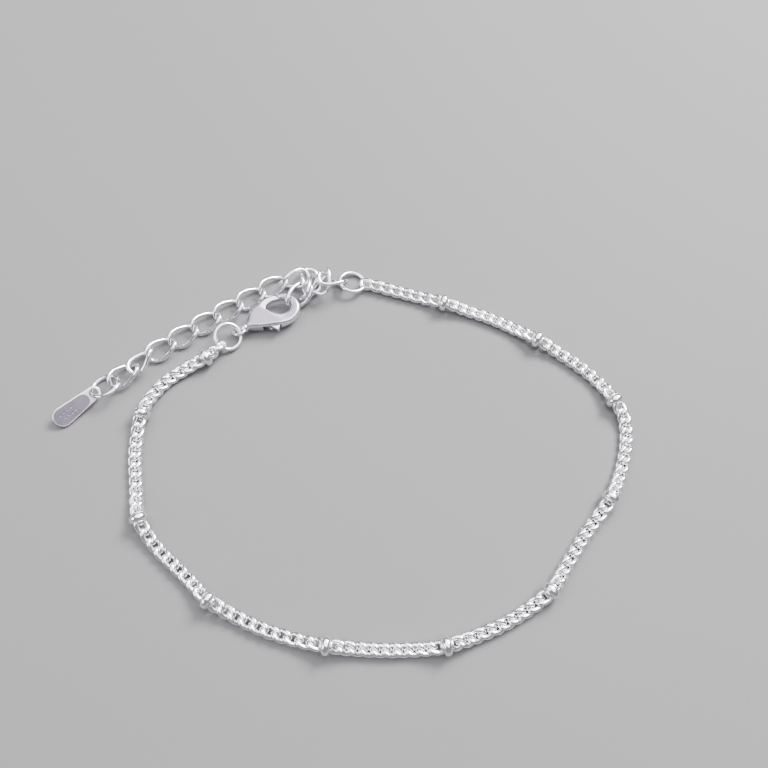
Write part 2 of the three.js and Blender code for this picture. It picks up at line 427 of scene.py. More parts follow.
def rounded_plate(outline: np.ndarray, thickness: float, edge: float) -> Shell:
    """Makes a flat plate with rounded edges from a smooth outline.

    Args:
        outline: the closed outline's points, anticlockwise.
        thickness: the plate's full thickness.
        edge: the radius that rounds its edges.

    Returns:
        A closed shell, lying in the XY plane.
    """
    ahead = np.roll(outline, -1, 0) - np.roll(outline, 1, 0)
    ahead /= np.linalg.norm(ahead, axis=1)[:, None]
    outward = np.stack([ahead[:, 1], -ahead[:, 0]], 1)
    edge_steps = 6
    quarter = np.linspace(-math.pi / 2, 0, edge_steps + 1)
    turns = [(angle, -1) for angle in quarter] + [(angle, 1) for angle in -quarter[::-1]]
    rings = []
    for angle, side in turns:
        inset = edge * (1 - math.cos(angle))
        height = thickness / 2 - edge + edge * abs(math.sin(angle))
        rings.append(at_height(outline - outward * inset, side * height))
    return stacked_rings(rings)


class Cut(Enum):
    """How two solids are combined."""

    JOIN = "UNION"
    REMOVE = "DIFFERENCE"


def combine(base: bpy.types.Object, shell: Shell, cut: Cut) -> None:
    """Joins a solid to a piece or removes it from the piece.

    Args:
        base: the piece, which gets a new mesh.
        shell: the solid that is joined or removed.
        cut: which of the two is done.
    """
    tool = shell.to_object("tool")
    modifier = base.modifiers.new("combine", "BOOLEAN")
    modifier.operation = cut.value
    modifier.solver = "EXACT"
    modifier.object = tool
    plain_mesh(base)
    spent = tool.data
    bpy.data.objects.remove(tool)
    bpy.data.meshes.remove(spent)


def plain_mesh(piece: bpy.types.Object) -> None:
    """Makes what a piece's modifiers show its own mesh, and removes the modifiers.

    Args:
        piece: the piece.
    """
    graph = bpy.context.evaluated_depsgraph_get()
    graph.update()
    mesh = bpy.data.meshes.new_from_object(piece.evaluated_get(graph))
    old = piece.data
    piece.modifiers.clear()
    piece.data = mesh
    mesh.name = piece.name
    if old.users == 0:
        bpy.data.meshes.remove(old)


def settle(piece: bpy.types.Object, pose: Pose, move: np.ndarray) -> None:
    """Turns and moves a cut piece's mesh, and shades it smooth between its sharp edges.

    Args:
        piece: the piece.
        pose: its turn.
        move: how far it moves after that, in millimetres.
    """
    turn = Matrix(pose.matrix().tolist()).to_4x4()
    piece.data.transform(Matrix.Translation(Vector(move * MM)) @ turn)
    face_outwards(piece.data)
    piece.data.shade_smooth()
    piece.data.set_sharp_from_angle(angle=math.radians(SHARP_ANGLE))


def mark(mesh: bpy.types.Mesh, name: str, domain: str, values: Sequence[float]) -> None:
    """Writes a value for each point or face onto a mesh.

    Args:
        mesh: the mesh.
        name: the attribute's name.
        domain: POINT or FACE.
        values: the values in the mesh's own order.
    """
    attribute = mesh.attributes.new(name, "FLOAT", domain)
    attribute.data.foreach_set("value", np.array(values, np.float32))


# ---------------------------------------------------------------- node trees


class NodeGraph:
    """A node tree that is built by short calls."""

    def __init__(self, tree: bpy.types.NodeTree) -> None:
        """Takes the tree that the calls add to."""
        self.tree = tree

    def node(self, kind: str, **values: object) -> bpy.types.Node:
        """Adds a node.

        Args:
            kind: the node's type.
            **values: settings by attribute, or input values and links by socket name,
                in which a double underscore stands for a space.

        Returns:
            The node.
        """
        node = self.tree.nodes.new(kind)
        inputs = {}
        for label, value in values.items():
            if hasattr(node, label):
                setattr(node, label, value)
            else:
                inputs[label.replace("__", " ")] = value
        for label, value in inputs.items():
            self.feed(node.inputs[label], value)
        return node

    def feed(self, socket: bpy.types.NodeSocket, value: object) -> None:
        """Links a socket to another, or sets its value.

        Args:
            socket: the input.
            value: the output that is linked to it, or the value.
        """
        if isinstance(value, bpy.types.NodeSocket):
            self.tree.links.new(value, socket)
        else:
            socket.default_value = value

    def math(self, operation: str, *terms: object) -> bpy.types.NodeSocket:
        """Adds a sum.

        Args:
            operation: the kind of sum.
            *terms: its terms, each a number or a socket.

        Returns:
            Its result.
        """
        node = self.node("ShaderNodeMath", operation=operation)
        for socket, term in zip(node.inputs, terms):
            self.feed(socket, term)
        return node.outputs[0]

    def noise(self, vector: bpy.types.NodeSocket, scale: float, detail: float) -> bpy.types.NodeSocket:
        """Returns the value of a noise texture that is added to a material's tree."""
        return self.node("ShaderNodeTexNoise", Vector=vector, Scale=scale, Detail=detail).outputs["Fac"]


class GeometryTree(NodeGraph):
    """A geometry node tree with named inputs."""

    def __init__(self, name: str, sizes: dict[str, str]) -> None:
        """Starts a tree.

        Args:
            name: the tree's name.
            sizes: its inputs by name, with the kind of socket of each.
        """
        super().__init__(bpy.data.node_groups.new(name, "GeometryNodeTree"))
        for label, kind in sizes.items():
            self.tree.interface.new_socket(label, in_out="INPUT", socket_type=kind)
        self.tree.interface.new_socket("Geometry", in_out="OUTPUT", socket_type="NodeSocketGeometry")
        self.start = self.tree.nodes.new("NodeGroupInput")
        self.end = self.tree.nodes.new("NodeGroupOutput")

    def given(self, label: str) -> bpy.types.NodeSocket:
        """Returns the value of one of the tree's inputs."""
        return self.start.outputs[label]

    def finish(self, geometry: bpy.types.NodeSocket) -> bpy.types.NodeTree:
        """Sends the geometry out and returns the tree."""
        self.tree.links.new(geometry, self.end.inputs[0])
        return self.tree


LINK_SIZES = {
    **dict.fromkeys(("Link Length", "Link Width", "Wire", "Twist", "Flatness"), "NodeSocketFloat"),
    **dict.fromkeys(("Steps", "Sides"), "NodeSocketInt"),
}
END_SHARPNESS = 3.0


def curb_link_tree() -> bpy.types.NodeTree:
    """Builds the tree of one curb link.

    A ring of wire is pulled out to an oval and twisted about its length, so that its two
    ends stand crosswise and its neighbours lie beside it. It is then rolled flatter.

    Returns:
        The tree, whose inputs are the link's sizes.
    """
    graph = GeometryTree("curb_link", LINK_SIZES)
    wire = graph.given("Wire")
    half_width = graph.math("MULTIPLY", graph.math("SUBTRACT", graph.given("Link Width"), wire), 0.5)
    half_length = graph.math("MULTIPLY", graph.math("SUBTRACT", graph.given("Link Length"), wire), 0.5)
    ring = graph.node("GeometryNodeCurvePrimitiveCircle", Resolution=graph.given("Steps"), Radius=half_width)
    place = graph.node("GeometryNodeInputPosition")
    parts = graph.node("ShaderNodeSeparateXYZ", Vector=place.outputs[0])
    across = parts.outputs["Y"]
    lean = graph.math("DIVIDE", graph.math("MULTIPLY", parts.outputs["X"], END_SHARPNESS), half_width)
    side = graph.math("MINIMUM", graph.math("MAXIMUM", lean, -1.0), 1.0)
    stretch = graph.math("SUBTRACT", half_length, half_width)
    along = graph.math("MULTIPLY_ADD", side, stretch, parts.outputs["X"])
    turn = graph.math("DIVIDE", graph.math("MULTIPLY", graph.given("Twist"), along), half_length)
    twisted = graph.node(
        "ShaderNodeCombineXYZ",
        X=along,
        Y=graph.math("MULTIPLY", across, graph.math("COSINE", turn)),
        Z=graph.math("MULTIPLY", across, graph.math("SINE", turn)),
    )
    oval = graph.node("GeometryNodeSetPosition", Geometry=ring.outputs["Curve"], Position=twisted.outputs[0])
    section = graph.node(
        "GeometryNodeCurvePrimitiveCircle",
        Resolution=graph.given("Sides"),
        Radius=graph.math("MULTIPLY", wire, 0.5),
    )
    tube = graph.node(
        "GeometryNodeCurveToMesh", Curve=oval.outputs[0], Profile__Curve=section.outputs["Curve"]
    )
    scale = graph.node("ShaderNodeCombineXYZ", X=1.0, Y=1.0, Z=graph.given("Flatness"))
    rolled = graph.node("GeometryNodeTransform", Geometry=tube.outputs[0], Scale=scale.outputs[0])
    smooth = graph.node("GeometryNodeSetShadeSmooth", Geometry=rolled.outputs[0])
    return graph.finish(smooth.outputs[0])


def chain_tree(link_tree: bpy.types.NodeTree) -> bpy.types.NodeTree:
    """Builds the tree that lays curb links along a path.

    Args:
        link_tree: the tree of one link.

    Returns:
        A tree whose path comes in as joined edges, with each point's "roll" on them.
    """
    kinds = {
        "Geometry": "NodeSocketGeometry",
        "Links": "NodeSocketInt",
        **LINK_SIZES,
        "Unevenness": "NodeSocketFloat",
        "Seed": "NodeSocketInt",
        "Material": "NodeSocketMaterial",
    }
    graph = GeometryTree("curb_chain", kinds)
    line = graph.node("GeometryNodeMeshToCurve", Mesh=graph.given("Geometry"))
    stations = graph.node("GeometryNodeResampleCurve", Curve=line.outputs[0], Count=graph.given("Links"))
    tangent = graph.node("GeometryNodeInputTangent")
    headed = graph.node("FunctionNodeAlignRotationToVector", axis="X", Vector=tangent.outputs[0])
    level = graph.node(
        "FunctionNodeAlignRotationToVector",
        axis="Z",
        pivot_axis="X",
        Rotation=headed.outputs[0],
        Vector=(0.0, 0.0, 1.0),
    )
    roll = graph.node("GeometryNodeInputNamedAttribute", data_type="FLOAT", Name="roll")
    jitter = graph.node("FunctionNodeRandomValue", data_type="FLOAT", Seed=graph.given("Seed"))
    uneven = graph.given("Unevenness")
    least, most = [s for s in jitter.inputs if s.type == "VALUE" and s.enabled][:2]
    graph.feed(least, graph.math("MULTIPLY", uneven, -1.0))
    graph.feed(most, uneven)
    drawn = next(s for s in jitter.outputs if s.type == "VALUE" and s.enabled)
    angle = graph.math("ADD", roll.outputs["Attribute"], drawn)
    about = graph.node("FunctionNodeAxisAngleToRotation", Axis=(1.0, 0.0, 0.0), Angle=angle)
    rolled = graph.node(
        "FunctionNodeRotateRotation",
        rotation_space="LOCAL",
        Rotation=level.outputs[0],
        Rotate__By=about.outputs[0],
    )
    link = graph.tree.nodes.new("GeometryNodeGroup")
    link.node_tree = link_tree
    for label in LINK_SIZES:
        graph.feed(link.inputs[label], graph.given(label))
    laid = graph.node(
        "GeometryNodeInstanceOnPoints",
        Points=stations.outputs[0],
        Instance=link.outputs[0],
        Rotation=rolled.outputs[0],
    )
    real = graph.node("GeometryNodeRealizeInstances", Geometry=laid.outputs[0])
    plated = graph.node(
        "GeometryNodeSetMaterial", Geometry=real.outputs[0], Material=graph.given("Material")
    )
    return graph.finish(plated.outputs[0])


def set_inputs(modifier: bpy.types.NodesModifier, values: dict[str, object]) -> None:
    """Sets a geometry nodes modifier's inputs.

    Args:
        modifier: the modifier, whose tree is set.
        values: the inputs' values by name.
    """
    for item in modifier.node_group.interface.items_tree:
        if item.item_type == "SOCKET" and item.in_out == "INPUT" and item.name in values:
            modifier[item.identifier] = values[item.name]


# ---------------------------------------------------------------- finishes


class Pattern(Enum):
    """What a finish's fine lines follow: space, or the lay of the piece's own UV map."""

    SPACE = "Object"
    LAY = "UV"


@dataclass(frozen=True)
class SilverFinish:
    """A silver surface: its colour, its polish and the marks that wear leaves on it.

    Its mask, where there is one, names an attribute that says where the darker tint goes in
    place of the patches; there that tint is painted shade, and elsewhere it gives random tonal patches.
    cloud_mm is the size of its soft tonal patches, line_mm how close its polishing lines
    lie, line_stretch how much longer than wide they are, and line_depth_mm how deep. wear
    is the span of the marks' strength over which the polish goes from best to worst.
    """

    name: str
    slot: str
    bright: Triple
    dull_and_shade: Triple
    roughness: Point
    cloud_mm: float = 1.2
    line_mm: float = 0.06
    line_stretch: float = 12.0
    line_depth_mm: float = 0.0015
    wear: Point = (0.35, 0.65)
    pattern: Pattern = Pattern.SPACE
    shade_mask: str = ""

    def material(self) -> bpy.types.Material:
        """Makes the finish as a procedural material, once.

        Returns:
            The material.
        """
        made = bpy.data.materials.get(self.name)
        if made is not None:
            return made
        made = bpy.data.materials.new(self.name)
        made.use_nodes = True
        made.diffuse_color = (*self.bright, 1.0)
        graph = NodeGraph(made.node_tree)
        place = graph.node("ShaderNodeTexCoord")
        patches = graph.noise(place.outputs["Object"], 1 / (self.cloud_mm * MM), 3.0)
        share = patches
        # Where a mask is given, the darker tint follows it as painted shade, not random patches.
        if self.shade_mask:
            share = graph.node("ShaderNodeAttribute", attribute_name=self.shade_mask).outputs["Fac"]
        tint = graph.node(
            "ShaderNodeMix", data_type="RGBA", Factor=share, A=(*self.bright, 1.0), B=(*self.dull_and_shade, 1.0)
        )
        lines = self._lines(graph, place)
        marks = graph.math("MULTIPLY_ADD", lines, 0.5, graph.math("MULTIPLY", patches, 0.5))
        least, most = self.wear
        polish = graph.node("ShaderNodeMapRange", Value=marks, From__Min=least, From__Max=most)
        for label, roughness in zip(("To Min", "To Max"), self.roughness):
            graph.feed(polish.inputs[label], roughness)
        bump = graph.node("ShaderNodeBump", Height=lines, Distance=self.line_depth_mm * MM, Strength=1.0)
        shader = made.node_tree.nodes["Principled BSDF"]
        graph.feed(shader.inputs["Metallic"], 1.0)
        graph.feed(shader.inputs["Base Color"], tint.outputs["Result"])
        graph.feed(shader.inputs["Roughness"], polish.outputs["Result"])
        graph.feed(shader.inputs["Normal"], bump.outputs["Normal"])
        return made

    def _lines(self, graph: NodeGraph, place: bpy.types.Node) -> bpy.types.NodeSocket:
        """Adds the polishing lines, which run along the lay where there is one.

        Args:
            graph: the material's node tree.
            place: its texture coordinate node.

        Returns:
            The lines' value.
        """
        vector = place.outputs[self.pattern.value]
        scale = 1 / self.line_mm
        if self.pattern is Pattern.LAY:
            stretch = (1 / self.line_stretch, 1.0, 1.0)
            vector = graph.node("ShaderNodeMapping", Vector=vector, Scale=stretch).outputs["Vector"]
        else:
            scale /= MM
        return graph.noise(vector, scale, 2.0)


CHAIN_SILVER = SilverFinish(
    "bright_chain_silver", "chain_silver", (0.97, 0.965, 0.985), (0.9, 0.89, 0.93), (0.1, 0.22)
)
BEAD_SILVER = SilverFinish(
    "polished_bead_silver",
    "bead_silver",
    (0.94, 0.93, 0.96),
    (0.85, 0.83, 0.88),
    (0.08, 0.2),
    line_mm=0.05,
    line_depth_mm=0.001,
    pattern=Pattern.LAY,
)
WIRE_SILVER = replace(
    BEAD_SILVER,
    name="drawn_wire_silver",
    slot="wire_silver",
    bright=(0.93, 0.92, 0.95),
    dull_and_shade=(0.8, 0.78, 0.84),
)
# The claw's darker tint is painted shade on its flat faces, standing in for their darker reflection; the
# rims keep the bright tint.
CLASP_SILVER = SilverFinish(
    "cast_clasp_silver",
    "clasp_silver",
    (0.84, 0.81, 0.86),
    (0.28, 0.245, 0.295),
    (0.2, 0.27),
    cloud_mm=2.2,
    line_mm=0.3,
    line_depth_mm=0.0002,
    shade_mask="shaded_flat_face",
)
LEVER_SILVER = replace(
    CLASP_SILVER,
    name="polished_lever_silver",
    slot="lever_silver",
    bright=(0.84, 0.82, 0.87),
    dull_and_shade=(0.74, 0.71, 0.78),
    roughness=(0.18, 0.26),
    shade_mask="",
)
# The tag's sunk face is satin; its darker tint is painted shade on that face, and the rim keeps the bright
# tint.
TAG_SATIN = SilverFinish(
    "satin_tag_silver",
    "tag_satin",
    (0.86, 0.84, 0.89),
    (0.26, 0.228, 0.285),
    (0.24, 0.36),
    cloud_mm=1.4,
    line_mm=0.1,
    line_depth_mm=0.001,
    shade_mask="satin_shaded_face",
)


def dressed(piece: bpy.types.Object, finish: SilverFinish, body: str, *nodes: str) -> bpy.types.Object:
    """Gives a finished piece its material and its body, and hides the frame nodes it stands for.

    Args:
        piece: the piece, with its final mesh.
        finish: its surface.
        body: the body that it rides on.
        *nodes: the frame nodes that it replaces.

    Returns:
        The piece.
    """
    piece.data.materials.clear()
    piece.data.materials.append(finish.material())
    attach(piece, body)
    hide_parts(*nodes)
    return piece


# ---------------------------------------------------------------- the chain and its beads


@dataclass
class Route:
    """The chain's route, from the extender's ring round to the clasp's ring.

    runs holds the points that it passes through, a row for each run of the chain. A bead
    sits at the end of every row but the last. shift is where their origin lies in the
    frame, and pace how much the curve's pace follows their spacing.
    """

    runs: tuple[tuple[Point, ...], ...] = (
        ((3.1, 25.8), (4.6, 25.5), (7.5, 24.7), (10.5, 23.9), (14.7, 22.7)),
        ((20.6, 20.9), (24.8, 19.0), (28.5, 16.8)),
        ((33.6, 13.5), (36.9, 10.5), (39.0, 7.2)),
        ((40.2, 4.5), (40.2, 1.4), (39.1, -2.9), (37.0, -7.2)),
        ((33.3, -12.1), (30.7, -15.9), (28.0, -19.7)),
        ((23.0, -23.2), (18.8, -25.2), (14.5, -26.7)),
        ((8.5, -27.3), (4.0, -27.3), (-0.6, -27.0)),
        ((-6.6, -25.8), (-10.9, -24.3), (-15.9, -21.8)),
        ((-18.0, -19.9), (-21.3, -17.1), (-23.7, -15.0), (-26.3, -11.5)),
        ((-27.8, -5.6), (-28.5, -1.1), (-28.2, 3.5)),
        ((-27.2, 6.6), (-25.6, 8.8), (-23.4, 10.6), (-20.2, 12.6)),
        ((-18.8, 14.0),),
    )
    shift: Point = (-0.27, -0.17)
    steps: int = 40
    pace: float = 0.5
    probe: float = 0.05

    def __post_init__(self) -> None:
        """Works out the curve, its length at each point and where its beads are."""
        given = np.array([point for run in self.runs for point in run]) + self.shift
        before, after = 2 * given[0] - given[1], 2 * given[-1] - given[-2]
        self.line = curve_through(np.vstack([before, given, after]), self.steps, self.pace)
        self.along = running_length(self.line)
        self.length = float(self.along[-1])
        marks = np.cumsum([len(run) for run in self.runs[:-1]]) - 1
        self.beads = [float(self.along[i * self.steps]) for i in marks]

    def at(self, along: np.ndarray | float) -> np.ndarray:
        """Finds the route's place in the plane. Past either end it runs on straight.

        Args:
            along: the lengths along it at which it is wanted.

        Returns:
            A row for each length.
        """
        stations = np.atleast_1d(np.asarray(along, float))
        inside = np.clip(stations, 0, self.length)
        place = np.stack([np.interp(inside, self.along, self.line[:, i]) for i in range(2)], 1)
        first = (self.line[1] - self.line[0]) / self.along[1]
        last = (self.line[-1] - self.line[-2]) / (self.along[-1] - self.along[-2])
        before = np.minimum(stations, 0)[:, None] * first
        after = np.maximum(stations - self.length, 0)[:, None] * last
        return place + before + after

    def heading(self, along: float) -> float:
        """Returns the route's direction at a length along it, in degrees from +X."""
        ahead, behind = self.at(along + self.probe)[0], self.at(along - self.probe)[0]
        return math.degrees(math.atan2(ahead[1] - behind[1], ahead[0] - behind[0]))


@dataclass
class CurbChain:
    """The fine curb chain between the beads, run by run.

    rolls holds, for some runs, how far the chain is rolled about its length at even
    places from the run's start to its end, in degrees; the others lie flat. The last
    run is a pair of links that ends at last_reach from the last bead.
    """

    route: Route
    link_length: float = 2.88
    link_width: float = 2.02
    wire: float = 0.68
    twist: float = 60.0
    flatness: float = 0.82
    pitch: float = 1.48
    bead_reach: float = 1.2
    last_reach: float = 2.3
    bead_height: float = 1.324
    clearance: float = 0.15
    ramp_start: float = 0.8
    ramp: float = 3.2
    unevenness: float = 3.0
    steps: int = 28
    sides: int = 10
    path_points: int = 60
    reach_probes: int = 33
    rolls: dict[int, tuple[float, ...]] = field(
        default_factory=lambda: {1: (45.0, 28.0, 28.0, 28.0), 11: (18.0, 18.0), 12: (0.0, -45.0)}
    )

    def height(self, along: float, roll: float) -> float:
        """Works out how high the chain's middle is.

        It comes down from each bead to the surface, and a rolled link stands higher.

        Args:
            along: the length along the route.
            roll: how far the chain is rolled there, in radians.

        Returns:
            The height in millimetres.
        """
        nearest = min(abs(along - mark) for mark in self.route.beads)
        descent = eased(min(max((nearest - self.ramp_start) / self.ramp, 0.0), 1.0))
        resting = self.reach(roll) + self.clearance
        return max(self.bead_height + (resting - self.bead_height) * descent, resting)

    def reach(self, roll: float) -> float:
        """Works out how far a rolled link reaches below its middle.

        Args:
            roll: how far it is rolled, in radians.

        Returns:
            The depth in millimetres.
        """
        turn = np.linspace(0, math.pi, self.reach_probes)
        twist = math.radians(abs(self.twist)) * np.cos(turn)
        flat, upright = self.flatness * math.cos(roll), abs(math.sin(roll))
        drop = float((np.sin(turn) * (np.sin(twist) * flat + np.cos(twist) * upright)).max())
        return (self.link_width - self.wire) / 2 * drop + self.wire / 2 * math.hypot(flat, upright)

    def path(self, name: str, ends: Point, rolls: Sequence[float]) -> bpy.types.Object:
        """Makes one run's path as joined edges that carry each point's roll.

        Args:
            name: the run's name.
            ends: the lengths along the route at which its first and last links lie.
            rolls: the chain's roll at even places along the run, in degrees.

        Returns:
            The path.
        """
        stations = np.linspace(*ends, self.path_points)
        shares = np.linspace(0, 1, self.path_points)
        roll = np.radians(np.interp(shares, np.linspace(0, 1, len(rolls)), rolls))
        heights = np.array([self.height(s, r) for s, r in zip(stations, roll)])
        points = at_height(self.route.at(stations), heights) * MM
        mesh = bpy.data.meshes.new(name)
        mesh.from_pydata(points.tolist(), [(i, i + 1) for i in range(self.path_points - 1)], [])
        mark(mesh, "roll", "POINT", roll)
        return in_scene(name, mesh)

    def run_ends(self, index: int) -> Point:
        """Finds where a run's first and last links lie along the route.

        Args:
            index: the run's number, from 1.

        Returns:
            The two lengths along the route.
        """
        beads = self.route.beads
        if index > len(beads):
            last = beads[-1] + self.last_reach
            return last - self.pitch, last
        first = beads[index - 2] + self.bead_reach if index > 1 else 0.0
        return first, beads[index - 1] - self.bead_reach

    def build(self) -> list[bpy.types.Object]:
        """Lays the links of every run.

        Returns:
            The runs, dressed.
        """
        tree = chain_tree(curb_link_tree())
        runs = []
        for index in range(1, len(self.route.beads) + 2):
            first, last = self.run_ends(index)
            rolls = self.rolls.get(index, (0.0, 0.0))
            run = self.path(f"curb_chain_{index:02d}", (first, last), rolls)
            modifier = run.modifiers.new("links", "NODES")
            modifier.node_group = tree
            sizes = {
                "Links": round((last - first) / self.pitch) + 1,
                "Link Length": self.link_length * MM,
                "Link Width": self.link_width * MM,
                "Wire": self.wire * MM,
                "Twist": math.radians(self.twist),
                "Flatness": self.flatness,
                "Steps": self.steps,
                "Sides": self.sides,
                "Unevenness": math.radians(self.unevenness),
                "Seed": index,
                "Material": CHAIN_SILVER.material(),
            }
            set_inputs(modifier, sizes)
            plain_mesh(run)
            face_outwards(run.data)
            run.data.shade_smooth()
            runs.append(dressed(run, CHAIN_SILVER, MAIN_BODY, f"chain_run_{index:02d}"))
        return runs


@dataclass
class SaucerBeads:
    """The saucer beads: a rounded rim between two hubs that the chain enters."""

    route: Route
    rim_radius: float = 1.325
    rim_half: float = 0.56
    hub_radius: float = 0.88
    hub_half: float = 0.8
    hub_round: float = 0.12
    bore_radius: float = 0.6
    bore_depth: float = 0.3
    bore_edge: float = 0.05
    rim_steps: int = 10
    hub_steps: int = 4
    segments: int = 56

    def profile(self) -> np.ndarray:
        """Draws the bead's outline from one bore to the other.

        Returns:
            Rows of place along the bead's axis and radius.
        """
        swell = self.rim_radius - self.hub_radius
        angles = np.linspace(0, math.pi / 2, self.rim_steps + 1)
        rim = [(self.rim_half * math.sin(a), self.hub_radius + swell * math.cos(a)) for a in angles]
        low, near, curl = self.hub_radius - self.hub_round, self.hub_half - self.hub_round, self.hub_round
        angles = np.linspace(0, math.pi / 2, self.hub_steps + 1)
        edge = [(near + curl * math.sin(a), low + curl * math.cos(a)) for a in angles]
        floor = self.hub_half - self.bore_depth
        bore = [
            (self.hub_half, self.bore_radius + self.bore_edge),
            (self.hub_half - self.bore_edge, self.bore_radius),
            (floor, self.bore_radius - self.bore_edge),
            (floor, 0.0),
        ]
        half = np.array([*rim, *edge, *bore])
        return np.vstack([half[:0:-1] * (-1, 1), half])

    def build(self) -> list[bpy.types.Object]:
        """Makes every bead.

        Returns:
            The beads, dressed.
        """
        shell = revolved(self.profile(), self.segments)
        beads = []
        for index, along in enumerate(self.route.beads, start=1):
            node = f"bead_{index:02d}"
            placed = shell.placed(Pose(self.route.heading(along)), node_middle(node))
            beads.append(dressed(placed.to_object(f"saucer_{node}"), BEAD_SILVER, MAIN_BODY, node))
        return beads


# ---------------------------------------------------------------- rings and the extender


@dataclass
class JumpRings:
    """The three jump rings, each a turn of wire whose ends meet at a fine seam.

    rings has a row for each: its node, its outside diameter and how it lies.
    """

    wire: float = 0.6
    seam_angle: float = 200.0
    seam_width: float = 2.2
    seam_depth: float = 0.05
    steps: int = 120
    sides: int = 20
    rings: tuple[tuple[str, float, Pose], ...] = (
        ("ring_extender", 4.4, Pose(0, -10, -11)),
        ("ring_clasp", 4.4, Pose(25, -15, 25)),
        ("ring_tag", 4.7, Pose(227, 5, 25)),
    )

    def shell(self, diameter: float) -> Shell:
        """Makes a ring that lies in the XY plane.

        Args:
            diameter: its outside diameter.

        Returns:
            The ring.
        """
        line = at_height(circle(self.steps, (diameter - self.wire) / 2), 0.0)
        angles = np.arange(self.steps) * 360 / self.steps
        away = np.abs((angles - self.seam_angle + 180) % 360 - 180)
        groove = self.seam_depth * np.exp(-((away / self.seam_width) ** 2))
        return swept_loop(line, self.wire / 2 - groove, self.sides)

    def build(self) -> list[bpy.types.Object]:
        """Makes the rings.

        Returns:
            The rings, dressed.
        """
        made = []
        for node, diameter, pose in self.rings:
            ring = self.shell(diameter).centred_on(pose, node).to_object(f"jump_{node}")
            made.append(dressed(ring, WIRE_SILVER, MAIN_BODY, node))
        return made


@dataclass
class Extender:
    """The extender's curb links, in order from its ring to the tag's ring.

    The first six lie in a tangle where the clasp pulls on the fourth.
    """

    link_length: float = 5.2
    link_width: float = 3.4
    wire: float = 0.6
    twist: float = -45.0
    end_sharpness: float = 2.4
    steps: int = 96
    sides: int = 18
    poses: tuple[Pose, ...] = (
        Pose(5, -30, -40),
        Pose(75, 0, -45),
        Pose(60, -10, 80),
        Pose(47, 12, 35),
        Pose(80, -15, 45),
        Pose(20, 5, 70),
        *(Pose(heading, 0, 4) for heading in (35, 35, 35, 36, 37, 37)),
        Pose(50, 10, -25),
        Pose(45, -5, 0),
    )

    def shell(self) -> Shell:
        """Makes one link, its length along X and its middle in the XY plane.

        Returns:
            The link.
        """
        half_width = (self.link_width - self.wire) / 2
        half_length = (self.link_length - self.wire) / 2
        lengthways, crossways = circle(self.steps).T
        lean = np.tanh(self.end_sharpness * lengthways) / math.tanh(self.end_sharpness)
        along = half_width * lengthways + (half_length - half_width) * lean
        across = half_width * crossways
        turn = math.radians(self.twist) * along / half_length
        line = np.stack([along, across * np.cos(turn), across * np.sin(turn)], 1)
        return swept_loop(line, self.wire / 2, self.sides)

    def build(self) -> list[bpy.types.Object]:
        """Makes the links.

        Returns:
            The links, dressed.
        """
        shell = self.shell()
        made = []
        for index, pose in enumerate(self.poses, start=1):
            node = f"extender_link_{index:02d}"
            link = shell.centred_on(pose, node).to_object(f"curb_{node}")
            made.append(dressed(link, WIRE_SILVER, MAIN_BODY, node))
        return made


# ---------------------------------------------------------------- the clasp


